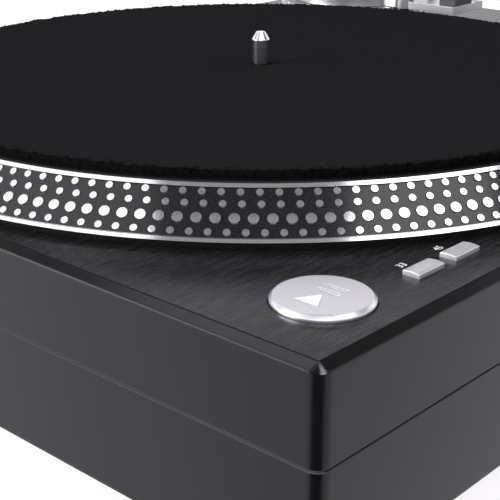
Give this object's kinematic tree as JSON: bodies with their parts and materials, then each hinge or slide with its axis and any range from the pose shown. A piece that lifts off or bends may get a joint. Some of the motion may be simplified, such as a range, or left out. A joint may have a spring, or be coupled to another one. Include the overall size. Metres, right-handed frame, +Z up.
{
  "type": "turntable",
  "caption": "Direct-drive turntable: black plinth with brushed top plate, dotted metal platter with felt mat, round start button, speed buttons, pitch fader and S-shaped tonearm.",
  "frame": {"origin": "middle of the footprint, on the surface that the feet stand on", "axes": "+X to the right along the front, +Y to the back, +Z up"},
  "size_m": [0.45, 0.352, 0.1465],
  "materials": {
    "plinth": "satin dark grey moulding",
    "top_plate": "black, brushed along the front",
    "platter": "turned, with a dark band",
    "felt": "black felt",
    "satin_silver": "satin",
    "black_plastic": "fine grain",
    "pale_plastic": "plain",
    "rubber": "matt",
    "steel": "plated",
    "brass": "turned",
    "copper": "enamelled wire",
    "core": "dull",
    "circuit_board": "green lacquer",
    "red_lens": "clear red",
    "arm_metal": "anodised",
    "chrome_tube": "polished",
    "weight": "turned",
    "stylus": "gloss"
  },
  "bodies": {
    "root": {"upper_plinth": "plinth", "lower_plinth": "plinth", "top_plate": "top_plate", "foot_bodies": "plinth", "foot_pads": "rubber", "foot_bolts": "steel", "plinth_screws": "steel", "motor_frame": "steel", "motor_screws": "steel", "stator_board": "circuit_board", "stator_coils": "copper", "bearing_housing": "brass", "thrust_pad": "pale_plastic", "control_board": "circuit_board", "tact_switches": "black_plastic", "board_screws": "steel", "power_transformer": "core", "power_board": "circuit_board", "rear_panel": "steel", "phono_sockets": "brass", "mains_inlet": "black_plastic", "ground_post": "steel", "strobe_housing": "black_plastic", "strobe_lens": "red_lens", "power_switch": "black_plastic", "fader_plate": "black_plastic", "fader_body": "steel", "arm_mount": "arm_metal"},
    "platter": {"platter": "platter", "slipmat": "felt", "spindle": "steel", "rotor_magnet": "core"},
    "start_button": {"start_stop_button": "satin_silver"},
    "speed_33": {"speed_button_33": "satin_silver"},
    "speed_45": {"speed_button_45": "satin_silver"},
    "pitch_slider": {"pitch_carriage": "pale_plastic", "pitch_knob": "black_plastic"},
    "power_knob": {"power_knob": "satin_silver"},
    "ground_nut": {"ground_nut": "brass"},
    "height_ring": {"height_ring": "arm_metal"},
    "arm_base": {"arm_base": "arm_metal", "arm_rest": "black_plastic"},
    "anti_skate_dial": {"anti_skate_dial": "satin_silver"},
    "cue_lever": {"cue_lever": "satin_silver"},
    "lift_rail": {"lift_rail": "rubber"},
    "arm_clip": {"arm_clip": "black_plastic"},
    "gimbal": {"gimbal_ring": "arm_metal", "pivot_screws": "steel"},
    "tonearm": {"arm_pivot_block": "arm_metal", "arm_tube": "chrome_tube", "counterweight_rod": "arm_metal", "headshell": "arm_metal", "headshell_screws": "steel", "cartridge": "black_plastic", "stylus": "stylus"},
    "headshell_collar": {"headshell_collar": "arm_metal"},
    "counterweight": {"counterweight": "weight"},
    "force_dial": {"force_dial": "black_plastic"}
  },
  "joints": [
    {"name": "platter_spin", "type": "hinge", "parent": "root", "child": "platter", "pos_m": [-0.054, -0.004, 0.085], "axis": [0, 0, 1], "continuous": true},
    {"name": "start_press", "type": "slide", "parent": "root", "child": "start_button", "axis": [0, 0, -1], "range_m": [0, 0.0012], "stiffness_N_per_m": 500, "springref_m": -0.001},
    {"name": "speed_33_press", "type": "slide", "parent": "root", "child": "speed_33", "axis": [0, 0, -1], "range_m": [0, 0.0012], "stiffness_N_per_m": 500, "springref_m": -0.001},
    {"name": "speed_45_press", "type": "slide", "parent": "root", "child": "speed_45", "axis": [0, 0, -1], "range_m": [0, 0.0012], "stiffness_N_per_m": 500, "springref_m": -0.001},
    {"name": "pitch_slide", "type": "slide", "parent": "root", "child": "pitch_slider", "axis": [0, 1, 0], "range_m": [-0.05, 0.05]},
    {"name": "power_turn", "type": "hinge", "parent": "root", "child": "power_knob", "pos_m": [-0.18486, 0.13375, 0.101], "axis": [0, 0, -1], "range_deg": [0, 60]},
    {"name": "ground_turn", "type": "hinge", "parent": "root", "child": "ground_nut", "pos_m": [0.146, 0.164, 0.04], "axis": [0, 1, 0], "range_deg": [0, 720]},
    {"name": "height_turn", "type": "hinge", "parent": "root", "child": "height_ring", "pos_m": [0.13619, 0.09627, 0.085], "axis": [0, 0, 1], "range_deg": [0, 300]},
    {"name": "height_rise", "type": "slide", "parent": "root", "child": "arm_base", "axis": [0, 0, 1], "range_m": [0, 0.006]},
    {"name": "skate_turn", "type": "hinge", "parent": "arm_base", "child": "anti_skate_dial", "pos_m": [0.16018, 0.08027, 0.102], "axis": [0, 0, -1], "range_deg": [0, 270]},
    {"name": "cue_turn", "type": "hinge", "parent": "arm_base", "child": "cue_lever", "pos_m": [0.15318, 0.04226, 0.106], "axis": [-1, 0, 0], "range_deg": [0, 50]},
    {"name": "lift_rise", "type": "slide", "parent": "arm_base", "child": "lift_rail", "axis": [0, 0, 1], "range_m": [0, 0.0055]},
    {"name": "clip_turn", "type": "hinge", "parent": "arm_base", "child": "arm_clip", "pos_m": [0.14349, 0.02626, 0.1315], "axis": [0, -1, 0], "range_deg": [0, 90]},
    {"name": "arm_swing", "type": "hinge", "parent": "arm_base", "child": "gimbal", "pos_m": [0.13619, 0.09627, 0.124], "axis": [0, 0, -1], "range_deg": [0, 48]},
    {"name": "arm_tilt", "type": "hinge", "parent": "gimbal", "child": "tonearm", "pos_m": [0.13619, 0.09627, 0.124], "axis": [-1, 0, 0], "range_deg": [0, 10]},
    {"name": "collar_turn", "type": "hinge", "parent": "tonearm", "child": "headshell_collar", "pos_m": [0.15566, -0.08551, 0.124], "axis": [-0.3746, -0.9272, 0], "range_deg": [0, 45]},
    {"name": "weight_slide", "type": "slide", "parent": "tonearm", "child": "counterweight", "axis": [0, 1, 0], "range_m": [-0.006, 0.004]},
    {"name": "force_turn", "type": "hinge", "parent": "counterweight", "child": "force_dial", "pos_m": [0.13619, 0.13027, 0.124], "axis": [0, 1, 0], "continuous": true}
  ],
  "couplings": [
    {"joint": "height_turn", "follows": "height_rise", "rad_per_m": 872.66},
    {"joint": "lift_rise", "follows": "cue_turn", "m_per_rad": 0.0063025}
  ]
}
